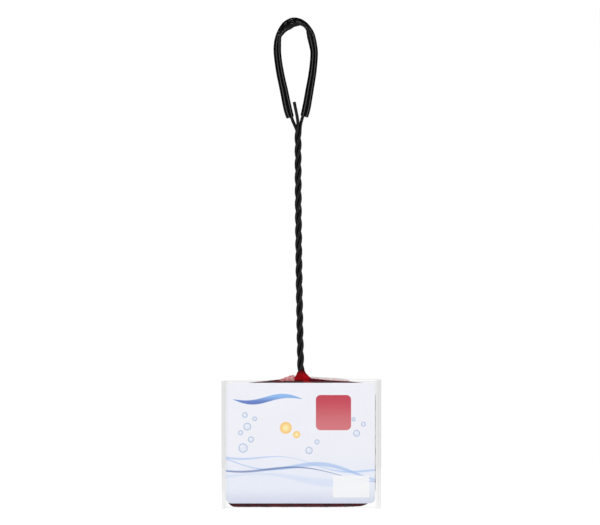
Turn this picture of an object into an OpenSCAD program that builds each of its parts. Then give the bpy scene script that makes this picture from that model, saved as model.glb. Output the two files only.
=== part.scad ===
// Aquarium fish net: one coated wire twisted into a stem, a soft grip tube on its hanging loop,
// a rectangular frame with a hemmed mesh bag folded flat behind it, and a clear sleeve with a card.
// The origin is the hanging point, inside the top of the loop. The net hangs down along -Z,
// its mouth faces -Y, and the frame's width runs along X.

/* [Wire] */
// Outside diameter of the coated wire
wire_d = 2.65; // [2:0.05:3.2]
// Diameter of the steel core, seen at the cut ends
core_d = 1.8; // [1:0.1:2]
// Depth of the core modelled behind the cut end
core_depth = 5; // [3:0.5:8]

/* [Stem] */
// Length of the three-strand twist
stem_len = 197; // [120:1:260]
// Length of one full turn of the twist
stem_pitch = 32.8; // [24:0.1:50]
// Running gap between neighbouring strands
strand_gap = 0.05; // [0.05:0.01:0.3]
// Sideways place of the top of the twist, from the hanging point
stem_offset = 1.85; // [-3:0.05:3]
// Sideways bow of the twist over its length
stem_bow = 2.2; // [0:0.1:6]
// Angle of the tail's strand at the top of the twist
tail_angle = 267; // [260:1:285]

/* [Loop] */
// Height from the hanging point down to the top of the twist
loop_len = 83; // [70:1:110]
// Width of the loop between its wire centres
loop_w = 30.2; // [24:0.1:44]
// Depth of the loop's widest place below the hanging point
loop_widest = 20; // [15:0.5:26]
// Sideways place of the legs' feet, left of the top of the twist
leg_lean = 0.8; // [0:0.1:2]
// Height of the tail's free end above the top of the twist
tail_len = 21.5; // [12:0.5:30]
// Sideways lean of the tail over its height
tail_lean = 3.1; // [0:0.1:4]

/* [Grip tube] */
// Outside diameter of the tube on its straight legs
tube_d = 6.3; // [5.8:0.1:9]
// Wall of the tube
tube_wall = 0.65; // [0.5:0.05:1]
// Least width of the creased tube over the top, front to back
crown_w = 4.6; // [4.5:0.1:6]
// Gap from the tube's ends down to the top of the twist
tube_stop = 9.2; // [6:0.1:14]
// Least clearance of the wire in the tube's ends, where it lies against one side
tube_fit = 0.15; // [0.1:0.05:0.5]

/* [Frame] */
// Outside width of the wire frame
frame_w = 123; // [90:1:160]
// Outside height of the wire frame at its sides
frame_h = 100; // [75:1:140]
// Radius of the frame's corners, at the wire's centre
frame_corner = 9; // [6:0.5:16]
// Fall of each shoulder from the neck to its corner, in degrees
shoulder_slope = 6; // [0:0.1:8]
// Sideways place of the frame's middle, from the hanging point
frame_offset = 4.6; // [-3:0.1:6]
// Height of the bend from the twist down to the shoulders
neck_drop = 9.6; // [8:0.1:14]
// Half the width of the neck, where the straight shoulders start
neck_half = 9.2; // [8:0.1:14]

/* [Net bag] */
// Thickness of the hem's folded mesh round the wire
hem_wall = 0.25; // [0.15:0.05:0.5]
// Fit of the hem on its wire
hem_fit = 0.1; // [0.05:0.01:0.2]
// Depth of the folded bag behind the frame's centre plane
bag_depth = 9; // [6:0.5:20]
// Thickness of the folded mesh
bag_wall = 0.8; // [0.5:0.1:1.2]
// Height of the bag's fold waves
fold_height = 0.7; // [0:0.1:1.2]
// Number of fold waves down the bag
fold_count = 3; // [1:1:5]
// Diameter of the sewn side seams
seam_d = 1; // [0.6:0.1:1.2]
// Height of the gathered mesh at the neck
gather_h = 11; // [9:0.5:14]
// Thickness of the gathered mesh
gather_wall = 0.35; // [0.2:0.05:0.5]

/* [Card] */
// Width of the frame that the card leaves uncovered
card_spare_w = 0.8; // [0:0.1:6]
// Sideways place of the card's middle, from the frame's middle
card_shift = -0.75; // [-1.5:0.05:1.5]
// Height of the frame that the card leaves uncovered
card_spare_h = 1.3; // [1:0.1:8]
// Thickness of the insert card
card_t = 0.4; // [0.3:0.05:0.6]
// Radius of the card's corners
card_corner = 4.5; // [1:0.5:10]
// Height of the card's lower edge above the frame's lowest wire surface
card_lift = 2.4; // [1:0.1:4]

/* [Sleeve] */
// Thickness of the clear film
film_t = 0.2; // [0.1:0.05:0.3]
// Clearance between the film and what it holds
film_gap = 0.35; // [0.3:0.05:0.6]
// Width of the welded edges
weld_w = 1.8; // [1:0.1:5]
// Run of the film from a flat panel out to its weld
film_run = 1.2; // [1:0.1:4]
// Height of the front film's open edge above the card
front_lip = 0.8; // [0.5:0.1:6]
// Height of the back film's open edge above the front one
back_lip = 1.9; // [0:0.1:5]

/* [Hidden] */

// Counts of rings and sides
strand_sides = 8;
tube_sides = 12;
rings_per_turn = 14;
bend_rings = 9;
round_sides = 24;
leg_rings = 12;
crown_rings = 18;
overrun = wire_d;

wire_r = wire_d / 2;
core_r = core_d / 2;
strand_count = 3;
strand_step = 360 / strand_count;
lay_angle = atan2(2 * PI * wire_d / sqrt(strand_count), stem_pitch);
pack_r = (wire_d + strand_gap) / sqrt(strand_count) / cos(lay_angle);

// Depth of the creased tube by its angle round the loop's top from the right, as a share of tube_d
crease_shares = [[0, 1], [30, 1.03], [43, 1.05], [56, 0.9], [65, 0.85], [76, 0.88], [84, 1.02], [90, 1.2],
                 [98, 1.28], [106, 1.32], [113, 1.22], [120, 1.05], [128, 0.92], [138, 0.85], [150, 0.9],
                 [165, 0.97], [180, 1]];

// Levels down the net
crown_z = tube_d * crease(90) - tube_d / 2;
widest_z = -loop_widest;
stem_top_z = -loop_len;
stem_foot_z = stem_top_z - stem_len;
shoulder_z = stem_foot_z - neck_drop;
tube_end_z = stem_top_z + tube_stop;
leg_cut_z = tube_end_z - wire_r;

// Frame, by its wire centres
half_w = frame_w / 2 - wire_r;
arc_x = half_w - frame_corner;
shoulder_run = arc_x + frame_corner * sin(shoulder_slope) - neck_half;
tangent_z = shoulder_z - shoulder_run * tan(shoulder_slope);
top_arc_z = tangent_z - frame_corner * cos(shoulder_slope);
corner_z = top_arc_z + frame_corner;
bottom_z = corner_z - (frame_h - wire_d);
low_arc_z = bottom_z + frame_corner;
mid_z = (corner_z + bottom_z) / 2;
hem_in_r = wire_r + hem_fit;
hem_r = hem_in_r + hem_wall;

// Depths of the card and the film
neck_r = pack_r + wire_r;
gather_r = neck_r + hem_fit + gather_wall;
card_back_y = -(gather_r + film_gap);
card_front_y = card_back_y - card_t;
film_front_y = card_front_y - film_gap;
bag_back_y = bag_depth + fold_height;
film_back_y = bag_back_y + film_gap;

// Edges of the card and of the sleeve's flat panels
card_w = frame_w - card_spare_w;
card_h = frame_h - card_spare_h;
card_low_z = bottom_z - wire_r + card_lift;
card_top_z = card_low_z + card_h;
panel_left_x = frame_offset - half_w - hem_r - film_run / 2;
panel_right_x = frame_offset + half_w + hem_r + film_run / 2;
panel_low_z = bottom_z - hem_r - film_run / 2;
sleeve_top_z = card_top_z + front_lip;

// Helpers
function mix(a, b, share) = a + (b - a) * share;
function unit(v) = v / norm(v);
function crease(angle) = lookup(angle, crease_shares);
function bend(p0, p1, p2, p3, t) =
    p0 * pow(1 - t, 3) + p1 * 3 * pow(1 - t, 2) * t + p2 * 3 * (1 - t) * pow(t, 2) + p3 * pow(t, 3);

// Direction of a path at each of its points
function path_dir(path, i) =
    unit(path[min(i + 1, len(path) - 1)] - path[max(i - 1, 0)]);

// One ring of a swept section, with its width in the XZ plane and its depth along Y
function ring(place, dir, width_r, depth_r, sides) =
    let (side = unit(cross(dir, [0, 1, 0])), face = cross(side, dir))
    [for (k = [0 : sides - 1])
        place + side * width_r * cos(360 * k / sides) + face * depth_r * sin(360 * k / sides)];

// Skin over rings that follow each other, closed by a cap at each end
module skin(rings) {
    sides = len(rings[0]);
    last = len(rings) - 1;
    points = [for (one = rings) each one];
    walls = [for (j = [0 : last - 1], k = [0 : sides - 1])
        let (a = j * sides + k, b = j * sides + (k + 1) % sides)
        each [[a, b, a + sides], [b, b + sides, a + sides]]];
    caps = [[for (k = [sides - 1 : -1 : 0]) k], [for (k = [0 : sides - 1]) last * sides + k]];
    polyhedron(points = points, faces = concat(walls, caps), convexity = 10);
}

// Round wire along a path, with its first and last rings square to the directions given
function wire_rings(path, r, first_dir, last_dir) =
    let (last = len(path) - 1)
    [for (i = [0 : last])
        ring(path[i], i == 0 ? first_dir : i == last ? last_dir : path_dir(path, i), r, r, strand_sides)];

// Twist of the stem: place of one strand's centre at a level
function stem_x(z) = stem_offset + stem_bow * pow(max(0, (stem_top_z - z) / stem_len), 2);
function strand_at(k, z) =
    let (a = tail_angle + strand_step * k + 360 * (z - stem_top_z) / stem_pitch)
    [stem_x(z) + pack_r * cos(a), pack_r * sin(a), z];
twist_rings = ceil(stem_len / stem_pitch * rings_per_turn);
function twist(k) = [for (i = [0 : twist_rings]) strand_at(k, stem_top_z - stem_len * i / twist_rings)];
function twist_dir(k, z) = unit(strand_at(k, z - wire_r) - strand_at(k, z + wire_r));

// Legs of the loop: side is -1 on the left and 1 on the right
leg_power_shares = [1.45, 1.7];
function leg_share(z) = (widest_z - z) / (widest_z - stem_top_z);
function leg_end_x(side) = stem_offset - leg_lean + side * pack_r;
function leg_at(side, z) =
    let (power = leg_power_shares[side < 0 ? 0 : 1])
    [mix(side * loop_w / 2, leg_end_x(side), pow(max(0, leg_share(z)), power)), 0, z];
function leg_dir(side) = unit(leg_at(side, leg_cut_z - core_r / 2) - leg_at(side, leg_cut_z + core_r / 2));
function crown_at(angle) =
    [loop_w / 2 * cos(angle), 0, widest_z + (crown_z - widest_z) * sin(angle)];

// Loop from the left leg's cut over the top to the right leg's cut
function legs(side, low_z) = [for (i = [0 : leg_rings - 1]) leg_at(side, mix(low_z, widest_z, i / leg_rings))];
function reversed(list) = [for (i = [len(list) - 1 : -1 : 0]) list[i]];
function loop_path(low_z) = concat(
    legs(-1, low_z),
    [for (i = [0 : crown_rings]) crown_at(180 - 180 * i / crown_rings)],
    reversed(legs(1, low_z)));

// Lead from a leg of the loop into its strand of the twist
lead_share = 0.4;
lead_foot_z = stem_top_z - wire_d;
function lead_in(side, k) =
    let (start = leg_at(side, leg_cut_z),
         dir = leg_dir(side),
         foot = strand_at(k, lead_foot_z),
         reach = (leg_cut_z - lead_foot_z) * lead_share)
    [for (i = [0 : bend_rings - 1])
        bend(start, start + dir * reach, foot - twist_dir(k, lead_foot_z) * reach, foot, i / bend_rings)];

// Twist below the leads
function twist_below(k) = [for (p = twist(k)) if (p[2] < lead_foot_z + wire_r / 2) p];

// Shoulders of the frame: their start beside the neck and their direction outwards
function shoulder_start(side) = [frame_offset + side * neck_half, 0, shoulder_z];
function shoulder_dir(side) = [side * cos(shoulder_slope), 0, -sin(shoulder_slope)];
function neck_bend(side, k) =
    let (top = strand_at(k, stem_foot_z),
         foot = shoulder_start(side),
         drop = neck_drop * drop_share,
         reach = neck_half * drop_share)
    [for (i = [1 : bend_rings])
        bend(top, top + twist_dir(k, stem_foot_z) * drop, foot - shoulder_dir(side) * reach, foot,
             i / bend_rings)];
drop_share = 0.76;

// Strand numbers: the tail's strand is in front, then the right leg's, then the left leg's
tail_k = 0;
right_k = 1;
left_k = 2;

// Tail: its free end above the twist and the way down into its strand
tail_top = [stem_offset - tail_lean, -pack_r, stem_top_z + tail_len];
tail_foot = strand_at(tail_k, lead_foot_z);
tail_dir = unit(strand_at(tail_k, stem_top_z) - tail_top);
tail_path = [for (i = [0 : bend_rings - 1])
    bend(tail_top, tail_top + tail_dir * tail_len * lead_share,
         tail_foot - twist_dir(tail_k, lead_foot_z) * tail_len * lead_share, tail_foot, i / bend_rings)];

module grip_wire() {
    color([0.03, 0.03, 0.035])
        skin(wire_rings(loop_path(leg_cut_z), wire_r, -leg_dir(-1), leg_dir(1)));
}

module tail_strand() {
    path = concat(tail_path, twist_below(tail_k), neck_bend(1, tail_k));
    outside = wire_rings(path, wire_r, tail_dir, shoulder_dir(1));
    bore = [for (depth = [core_depth, 0])
        ring(tail_top + tail_dir * depth, tail_dir, core_r + hem_fit / 2, core_r + hem_fit / 2, strand_sides)];
    color([0.03, 0.03, 0.035])
        skin(concat(bore, outside));
}

module left_strand() {
    path = concat(lead_in(-1, left_k), twist_below(left_k), neck_bend(-1, left_k));
    color([0.03, 0.03, 0.035])
        skin(wire_rings(path, wire_r, leg_dir(-1), shoulder_dir(-1)));
}

module right_strand() {
    path = concat(lead_in(1, right_k), twist_below(right_k));
    color([0.03, 0.03, 0.035])
        skin(wire_rings(path, wire_r, leg_dir(1), twist_dir(right_k, stem_foot_z)));
}

module wire_core() {
    color([0.6, 0.6, 0.62])
        skin([for (depth = [0, core_depth])
            ring(tail_top + tail_dir * depth, tail_dir, core_r, core_r, strand_sides)]);
}

// Soft tube: at its ends the wire lies against its inner side, and over the top it is creased
tube_room = tube_d / 2 - tube_wall - wire_r - tube_fit;
tube_power_share = 4;
function tube_shift(p) =
    let (share = pow(max(0, leg_share(p[2]) / leg_share(tube_end_z)), tube_power_share))
    [sign(p[0]) * tube_room * share, 0, 0];
function crown_angle(p) = p[2] > widest_z ? atan2(p[2] - widest_z, p[0]) : 0;
function tube_rings(path, wall) =
    [for (i = [0 : len(path) - 1])
        let (p = path[i],
             dir = path_dir(path, i),
             depth = tube_d * crease(crown_angle(p)),
             width = max(2 * tube_d - depth, crown_w),
             inwards = unit(cross([0, 1, 0], dir)) * (depth - tube_d) / 2)
        ring(p + tube_shift(p) + inwards, dir, depth / 2 - wall, width / 2 - wall, tube_sides)];

module grip_tube() {
    path = loop_path(tube_end_z);
    outside = tube_rings(path, 0);
    inside = tube_rings(path, tube_wall);
    sides = tube_sides;
    last = len(path) - 1;
    count = len(path) * sides;
    outer_walls = [for (j = [0 : last - 1], k = [0 : sides - 1])
        let (a = j * sides + k, b = j * sides + (k + 1) % sides)
        each [[a, b, a + sides], [b, b + sides, a + sides]]];
    inner_walls = [for (one = outer_walls) [one[2] + count, one[1] + count, one[0] + count]];
    end_faces = [for (k = [0 : sides - 1])
        let (a = k, b = (k + 1) % sides, c = last * sides)
        each [[a, a + count, b], [b, a + count, b + count],
              [a + c, b + c, a + c + count], [b + c, b + c + count, a + c + count]]];
    color([0.04, 0.04, 0.045])
        polyhedron(points = concat([for (one = outside) each one], [for (one = inside) each one]),
                   faces = concat(outer_walls, inner_walls, end_faces), convexity = 10);
}

// Straight bar of radius r round a bore, from a point along a direction in the XZ plane
module bar(from, angle, length, r, bore = 0) {
    translate(from)
        rotate([0, angle, 0])
            difference() {
                cylinder(r = r, h = length, $fn = round_sides);
                if (bore > 0)
                    translate([0, 0, -overrun])
                        cylinder(r = bore, h = length + 2 * overrun, $fn = round_sides);
            }
}

// Corner bend of radius r round a bore, in the XZ plane, over angles from +X towards +Z
module corner(centre, start, sweep, r, bore = 0) {
    translate(centre)
        rotate([90, 0, 0])
            rotate([0, 0, start])
                rotate_extrude(angle = sweep, $fn = 2 * round_sides)
                    translate([frame_corner, 0])
                        difference() {
                            circle(r = r, $fn = round_sides);
                            if (bore > 0)
                                circle(r = bore, $fn = round_sides);
                        }
}

// The frame is the same on both sides of its middle
module on_side(side) {
    translate([frame_offset, 0, 0])
        mirror([side < 0 ? 1 : 0, 0, 0])
            children();
}

module shoulder(side, r, bore = 0) {
    on_side(side)
        bar([neck_half, 0, shoulder_z], 90 + shoulder_slope, shoulder_run / cos(shoulder_slope), r, bore);
}

module frame_side(side, r, bore = 0) {
    on_side(side) {
        corner([arc_x, 0, top_arc_z], 0, 90 - shoulder_slope, r, bore);
        bar([half_w, 0, low_arc_z], 0, top_arc_z - low_arc_z, r, bore);
        corner([arc_x, 0, low_arc_z], 270, 90, r, bore);
    }
}

module lower_bar(r, bore = 0) {
    bar([frame_offset - arc_x, 0, bottom_z], 90, 2 * arc_x, r, bore);
}

module frame_top_left() {
    color([0.03, 0.03, 0.035]) shoulder(-1, wire_r);
}

module frame_top_right() {
    color([0.03, 0.03, 0.035]) shoulder(1, wire_r);
}

module frame_left() {
    color([0.03, 0.03, 0.035]) frame_side(-1, wire_r);
}

module frame_right() {
    color([0.03, 0.03, 0.035]) frame_side(1, wire_r);
}

module frame_bottom() {
    color([0.03, 0.03, 0.035]) lower_bar(wire_r);
}

// Hem: a tube of folded mesh on every straight and bend of the frame
module hem_top_left() {
    color([0.45, 0.03, 0.06]) shoulder(-1, hem_r, hem_in_r);
}

module hem_top_right() {
    color([0.45, 0.03, 0.06]) shoulder(1, hem_r, hem_in_r);
}

module hem_left() {
    color([0.45, 0.03, 0.06]) frame_side(-1, hem_r, hem_in_r);
}

module hem_right() {
    color([0.45, 0.03, 0.06]) frame_side(1, hem_r, hem_in_r);
}

module hem_bottom() {
    color([0.45, 0.03, 0.06]) lower_bar(hem_r, hem_in_r);
}

// Gathered mesh: a saddle over the bends, drawn up round the foot of the twist
gather_sides = 24;
gather_steps = 6;
gather_rise_share = 0.4;
gather_top_z = shoulder_z + hem_r + gather_h - neck_drop / 3;
function gather_ring(share, wall) =
    let (foot_x = frame_offset, top_x = stem_x(stem_foot_z),
         ease = pow(share, gather_rise_share),
         width_r = mix(neck_half, gather_r, ease) - wall,
         depth_r = gather_r - wall,
         side_z = shoulder_z + hem_r + hem_fit,
         skirt_z = shoulder_z - hem_r)
    [for (k = [0 : gather_sides - 1])
        let (a = 360 * k / gather_sides,
             foot_z = mix(side_z, skirt_z, pow(abs(sin(a)), 2)))
        [mix(foot_x, top_x, ease) + width_r * cos(a), depth_r * sin(a), mix(foot_z, gather_top_z, share)]];

module shell(outside, inside) {
    sides = len(outside[0]);
    last = len(outside) - 1;
    count = len(outside) * sides;
    outer_walls = [for (j = [0 : last - 1], k = [0 : sides - 1])
        let (a = j * sides + k, b = j * sides + (k + 1) % sides)
        each [[a, a + sides, b], [b, a + sides, b + sides]]];
    inner_walls = [for (one = outer_walls) [one[2] + count, one[1] + count, one[0] + count]];
    end_faces = [for (k = [0 : sides - 1])
        let (a = k, b = (k + 1) % sides, c = last * sides)
        each [[a, b, a + count], [b, b + count, a + count],
              [a + c, a + c + count, b + c], [b + c, a + c + count, b + c + count]]];
    polyhedron(points = concat([for (one = outside) each one], [for (one = inside) each one]),
               faces = concat(outer_walls, inner_walls, end_faces), convexity = 10);
}

module neck_gather() {
    color([0.72, 0.02, 0.03])
        shell([for (j = [0 : gather_steps]) gather_ring(j / gather_steps, 0)],
              [for (j = [0 : gather_steps]) gather_ring(j / gather_steps, gather_wall)]);
}

// Outline of the frame's wire centre round its middle, as corner arcs joined by straights
arc_points = 6;
function arc(centre, start, sweep) =
    [for (i = [0 : arc_points])
        let (a = start + sweep * i / arc_points)
        [centre[0] + frame_corner * cos(a), centre[1] + frame_corner * sin(a)]];
function straight(a, b, steps) = [for (i = [1 : steps - 1]) mix(a, b, i / steps)];
side_steps = 6;
corners = [
    arc([arc_x, top_arc_z - mid_z], 0, 90 - shoulder_slope),
    arc([-arc_x, top_arc_z - mid_z], 90 + shoulder_slope, 90 - shoulder_slope),
    arc([-arc_x, low_arc_z - mid_z], 180, 90),
    arc([arc_x, low_arc_z - mid_z], 270, 90)
];
frame_outline = [for (i = [0 : 3])
    each concat(corners[i], straight(corners[i][arc_points], corners[(i + 1) % 4][0], side_steps))];

// Bag: rings drawn in from the hem to the middle, hollow towards the mouth
middle_share = 0.06;
bag_shares = [1, 0.995, 0.98, 0.95, 0.88, 0.76, 0.6, 0.42, 0.22, middle_share];
rim_y = hem_r + hem_fit / 2;
function bag_y(share, z) =
    let (wave_z = share > middle_share ? z : 0)
    mix(rim_y, bag_depth, pow(1 - pow(share, 12), 0.5))
    + fold_height * (1 - pow(share, 8)) * cos(360 * fold_count * wave_z / (corner_z - bottom_z));
function bag_ring(share, wall) =
    let (draw = share * (half_w - wall) / half_w)
    [for (p = frame_outline)
        [frame_offset + p[0] * draw,
         bag_y(share, p[1] * share) - (share == 1 ? 0 : wall),
         mid_z + p[1] * draw]];

module net_bag() {
    outside = [for (share = bag_shares) bag_ring(share, 0)];
    inside = [for (share = bag_shares) bag_ring(share, bag_wall)];
    color([0.75, 0.08, 0.1])
        skin(concat(reversed(inside), outside));
}

// Side seam: a round ridge of doubled mesh on the bag's side, from the hem towards the middle
seam_shares = [1, 0.99, 0.975, 0.955, 0.93, 0.9];
module side_seam(side) {
    stand = seam_d / 2 + 3 * hem_fit;
    path = [for (share = seam_shares)
        let (out = pow(share, 12))
        [frame_offset + side * (half_w * share + stand * out),
         max(bag_y(share, 0) + stand * (1 - out), rim_y + stand), mid_z]];
    color([0.6, 0.05, 0.08])
        skin([for (i = [0 : len(path) - 1])
            let (dir = path_dir(path, i), up = [0, 0, 1], face = cross(up, dir))
            [for (k = [0 : strand_sides - 1])
                path[i] + (up * cos(360 * k / strand_sides) + face * sin(360 * k / strand_sides)) * seam_d / 2]]);
}

module side_seam_left() {
    side_seam(-1);
}

module side_seam_right() {
    side_seam(1);
}

module insert_card() {
    color([0.9, 0.94, 0.98])
        translate([frame_offset + card_shift - card_w / 2, card_front_y, card_low_z])
            difference() {
                cube([card_w, card_t, card_h]);
                for (x = [0, 1], z = [0, 1])
                    card_nick(x, z);
            }
}

// Waste cut from one corner of the card, leaving its rounded edge
module card_nick(x, z) {
    in_x = x == 0 ? card_corner : card_w - card_corner;
    in_z = z == 0 ? card_corner : card_h - card_corner;
    difference() {
        translate([x == 0 ? -card_t : in_x, -card_t, z == 0 ? -card_t : in_z])
            cube([card_corner + card_t, 3 * card_t, card_corner + card_t]);
        translate([in_x, -2 * card_t, in_z])
            rotate([-90, 0, 0])
                cylinder(r = card_corner, h = 5 * card_t, $fn = 48);
    }
}

module flat_film(y, top_z) {
    translate([panel_left_x, y, panel_low_z])
        cube([panel_right_x - panel_left_x, film_t, top_z - panel_low_z]);
}

module sleeve_front() {
    color([0.85, 0.87, 0.88, 0.3])
        flat_film(film_front_y - film_t, sleeve_top_z);
}

module sleeve_back() {
    color([0.85, 0.87, 0.88, 0.3])
        flat_film(film_back_y, sleeve_top_z + back_lip);
}

// Section of a welded edge: how far out from the flat panels each point lies, and its depth
edge_section = [
    [0, film_front_y - film_t],
    [film_run, -film_t],
    [film_run + weld_w, -film_t],
    [film_run + weld_w, film_t],
    [film_run, film_t],
    [0, film_back_y + film_t],
    [0, film_back_y],
    [film_run - film_t, 0],
    [0, film_front_y]
];

// Straight welded edge, its section's run along +X and its length along +Z
module edge_strip(length) {
    linear_extrude(height = length)
        polygon(edge_section);
}

// Half of space on one side of a corner's mitre, which runs from the corner down and out
mitre_size = 2 * (film_back_y - film_front_y + film_run + weld_w);
module mitre_half(below) {
    rotate([0, 45, 0])
        translate([-mitre_size / 2, -mitre_size / 2, below ? -mitre_size : 0])
            cube(mitre_size);
}

edge_reach = film_run + weld_w;
module side_weld() {
    difference() {
        translate([0, 0, -edge_reach])
            edge_strip(sleeve_top_z - panel_low_z + edge_reach);
        mitre_half(true);
    }
}

module sleeve_weld_left() {
    color([0.8, 0.82, 0.84, 0.5])
        translate([panel_left_x, 0, panel_low_z])
            mirror([1, 0, 0])
                side_weld();
}

module sleeve_weld_right() {
    color([0.8, 0.82, 0.84, 0.5])
        translate([panel_right_x, 0, panel_low_z])
            side_weld();
}

module sleeve_seal_bottom() {
    width = panel_right_x - panel_left_x;
    color([0.8, 0.82, 0.84, 0.5])
        translate([panel_left_x, 0, panel_low_z])
            difference() {
                translate([-edge_reach, 0, 0])
                    rotate([0, 90, 0])
                        edge_strip(width + 2 * edge_reach);
                translate([width, 0, 0])
                    mitre_half(false);
                mirror([1, 0, 0])
                    mitre_half(false);
            }
}

grip_wire();
tail_strand();
left_strand();
right_strand();
wire_core();
grip_tube();
frame_top_left();
frame_top_right();
frame_left();
frame_right();
frame_bottom();
hem_top_left();
hem_top_right();
hem_left();
hem_right();
hem_bottom();
neck_gather();
net_bag();
side_seam_left();
side_seam_right();
insert_card();
sleeve_front();
sleeve_back();
sleeve_weld_left();
sleeve_weld_right();
sleeve_seal_bottom();
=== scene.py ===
# Aquarium fish net in its clear sleeve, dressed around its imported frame.
# Metres throughout: the net hangs down along -Z from its loop, and its mouth and card face -Y.
from math import atan2, cos, pi, radians, sin, sqrt

import bpy
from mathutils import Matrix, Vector, noise


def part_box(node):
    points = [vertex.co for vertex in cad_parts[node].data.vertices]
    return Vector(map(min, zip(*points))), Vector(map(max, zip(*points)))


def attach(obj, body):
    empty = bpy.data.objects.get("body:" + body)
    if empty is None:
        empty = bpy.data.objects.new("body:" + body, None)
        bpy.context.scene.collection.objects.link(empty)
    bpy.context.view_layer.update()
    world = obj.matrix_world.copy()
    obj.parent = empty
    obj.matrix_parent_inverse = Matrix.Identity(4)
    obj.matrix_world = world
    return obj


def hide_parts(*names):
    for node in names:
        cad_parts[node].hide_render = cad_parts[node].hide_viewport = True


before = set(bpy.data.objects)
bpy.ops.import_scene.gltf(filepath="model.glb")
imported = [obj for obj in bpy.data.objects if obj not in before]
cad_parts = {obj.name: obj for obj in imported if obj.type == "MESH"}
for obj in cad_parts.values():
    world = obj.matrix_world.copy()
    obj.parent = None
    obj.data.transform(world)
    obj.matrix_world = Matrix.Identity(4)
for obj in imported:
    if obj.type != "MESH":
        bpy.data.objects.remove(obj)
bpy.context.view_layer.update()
bpy.ops.object.select_all(action="DESELECT")

mm = 0.001

# Camera, straight on at the photograph's scale

camera = {
    "distance": 2.5,
    "pixelSize": 0.82 * mm,  # one pixel at the net's own plane
    "imageWidth": 600,
    "centrePixel": (299.5, 262.0),
    "originPixel": (295.3, 26.5),  # where the hanging point shows
    "sensor": 36.0,
    "clipEnd": 100,
}


def makeCamera(c):
    x = (c["centrePixel"][0] - c["originPixel"][0]) * c["pixelSize"]
    z = (c["originPixel"][1] - c["centrePixel"][1]) * c["pixelSize"]
    bpy.ops.object.camera_add(location=(x, -c["distance"], z), rotation=(pi / 2, 0, 0))
    made = bpy.context.object
    made.name = "camera"
    made.data.sensor_width = c["sensor"]
    made.data.lens = c["sensor"] * c["distance"] / (c["imageWidth"] * c["pixelSize"])
    made.data.clip_end = c["clipEnd"]
    bpy.context.scene.camera = made


makeCamera(camera)
print("camera ready")


# Material makers: a node or socket knows the tree that it is in

# A socket takes a number, a colour or what another node gives
def plug(socket, value):
    if isinstance(value, bpy.types.NodeSocket):
        socket.id_data.links.new(value, socket)
    elif isinstance(value, tuple) and len(value) == 3 and socket.type == "RGBA":
        socket.default_value = (*value, 1)
    else:
        socket.default_value = value


def fill(node, values):
    for name, value in values.items():
        plug(node.inputs[name], value)


def newNode(near, kind):
    return near.id_data.nodes.new("ShaderNode" + kind)


def newMaterial(name, colour, roughness, specular=0.5):
    made = bpy.data.materials.new(name)
    made.use_nodes = True
    shader = made.node_tree.nodes["Principled BSDF"]
    fill(shader, {"Base Color": colour, "Roughness": roughness, "Specular IOR Level": specular})
    return made, shader


def calc(operation, a, b=0.0, c=0.0, clamp=False):
    made = newNode(a if isinstance(a, bpy.types.NodeSocket) else b, "Math")
    made.operation = operation
    made.use_clamp = clamp
    for socket, value in zip(made.inputs, (a, b, c)):
        plug(socket, value)
    return made.outputs[0]


def mixColour(share, a, b):
    made = newNode(share, "Mix")
    made.data_type = "RGBA"
    fill(made, {"Factor": share, "A": a, "B": b})
    return made.outputs["Result"]


def remap(value, low, high, toLow=0.0, toHigh=1.0):
    made = newNode(value, "MapRange")
    made.interpolation_type = "SMOOTHSTEP"
    fill(made, {"Value": value, "From Min": low, "From Max": high, "To Min": toLow, "To Max": toHigh})
    return made.outputs[0]


def place(near, kind="Object", scale=None):
    made = newNode(near, "TexCoord").outputs[kind]
    if not scale:
        return made
    mapping = newNode(near, "Mapping")
    fill(mapping, {"Vector": made, "Scale": scale})
    return mapping.outputs[0]


def axes(vector):
    made = newNode(vector, "SeparateXYZ")
    plug(made.inputs[0], vector)
    return made.outputs


def clouds(vector, scale, detail=3.0, roughness=0.5, distortion=0.0):
    made = newNode(vector, "TexNoise")
    fill(made, {"Vector": vector, "Scale": scale, "Detail": detail, "Roughness": roughness,
                "Distortion": distortion})
    return made.outputs["Fac"]


def addBump(shader, height, strength, distance):
    made = newNode(shader, "Bump")
    fill(made, {"Strength": strength, "Distance": distance, "Height": height})
    plug(shader.inputs["Normal"], made.outputs[0])


# Black coated wire: satin PVC with a faint grain, rubbed spots, and one pale spot on the stem that is
# partly a scuff and partly a painted highlight

wireFinish = {
    "colour": (0.003, 0.003, 0.0034),
    # rubbed wear: lighter patches of the coat
    "wearAndGlints": (0.02, 0.0205, 0.022),
    # pale colour at one spot on the stem: partly a scuff, partly a painted highlight
    "scuffAndGlint": (0.16, 0.165, 0.17),
    "scuffAt": (3.0 * mm, -1.5 * mm, -148.6 * mm),
    "scuffSize": 1.5 * mm,
    "roughness": (0.17, 0.27),
    "specular": 0.3,
    "grain": 900.0,
}


def makeWireCoat(w):
    made, shader = newMaterial("blackWireCoat", w["colour"], 0.3, w["specular"])
    spot = place(shader)
    grain = clouds(spot, w["grain"], 4, 0.6)
    broad = clouds(spot, w["grain"] / 9)
    near = newNode(shader, "VectorMath")
    near.operation = "DISTANCE"
    plug(near.inputs[0], spot)
    plug(near.inputs[1], w["scuffAt"])
    # the pale spot round scuffAt: a rougher scuff, with a painted highlight in its colour
    scuffAndGlintMask = remap(near.outputs["Value"], w["scuffSize"] * 0.4, w["scuffSize"], 1.0, 0.0)
    scuffAndGlintMask = calc("MULTIPLY", scuffAndGlintMask, remap(grain, 0.42, 0.58, 0.2))
    worn = mixColour(remap(broad, 0.58, 0.8, 0.0, 0.6), w["colour"], w["wearAndGlints"])
    rough = calc("ADD", remap(broad, 0.3, 0.7, *w["roughness"]), calc("MULTIPLY", scuffAndGlintMask, 0.25))
    fill(shader, {"Base Color": mixColour(scuffAndGlintMask, worn, w["scuffAndGlint"]), "Roughness": rough})
    addBump(shader, grain, 0.06, 0.05 * mm)
    return made


steelFinish = {"colour": (0.42, 0.42, 0.43), "roughness": (0.28, 0.5), "cutLines": 1500.0}


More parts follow.
